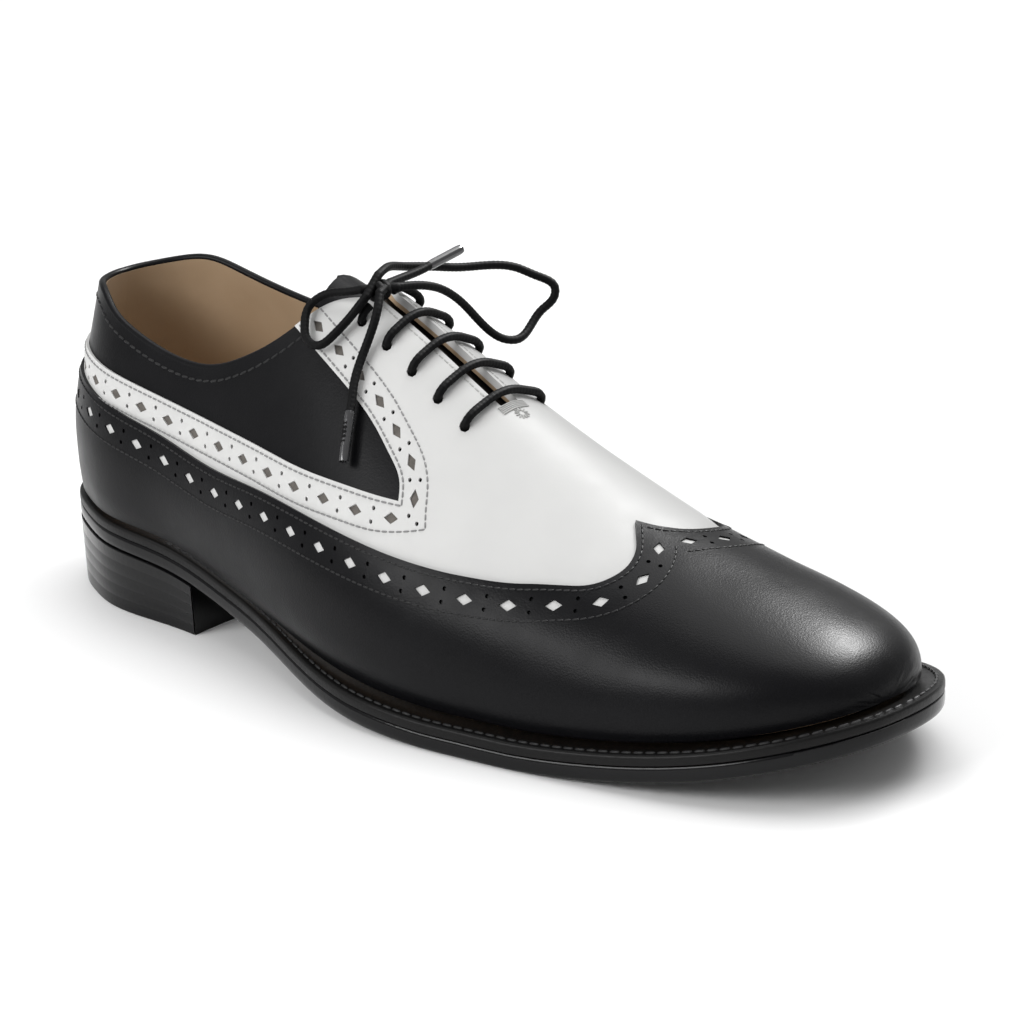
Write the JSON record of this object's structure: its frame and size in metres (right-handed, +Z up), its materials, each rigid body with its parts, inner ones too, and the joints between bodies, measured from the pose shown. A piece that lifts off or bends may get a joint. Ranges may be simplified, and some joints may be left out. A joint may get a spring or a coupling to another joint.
{
  "type": "spectator shoe",
  "caption": "Low closed-lacing dress shoe for the right foot, black wing and collar over white leather, with punched edges, welted sole and block heel.",
  "frame": {"origin": "under the middle of the shoe's box, on the floor plane it stands on", "axes": "+X towards the toe, -Y towards the outer (little toe) side of the foot, +Z up"},
  "size_m": [0.3, 0.1132, 0.1114],
  "materials": {
    "black_leather": "semi-gloss calf",
    "white_leather": "smooth satin calf",
    "tan_lining": "matt",
    "black_welt": "waxed",
    "black_edge": "burnished, glossy edge",
    "black_heel": "burnished, glossy stacked leather",
    "black_lace": "round waxed cotton braid",
    "clear_aglet": "clear film over black braid"
  },
  "bodies": {
    "root": {"upper": "black_leather", "wing": "black_leather", "vamp_quarters": "white_leather", "tongue": "black_leather", "insole": "tan_lining", "welt": "black_welt", "outsole": "black_edge", "heel": "black_heel", "near_loop": "black_lace", "far_loop": "black_lace", "lower_end": "black_lace", "upper_end": "black_lace", "knot": "black_lace", "lower_aglet": "clear_aglet", "upper_aglet": "clear_aglet", "lace_bar_1": "black_lace", "lace_bar_2": "black_lace", "lace_bar_3": "black_lace", "lace_bar_4": "black_lace", "outer_lead": "black_lace", "inner_lead": "black_lace"}
  },
  "joints": []
}
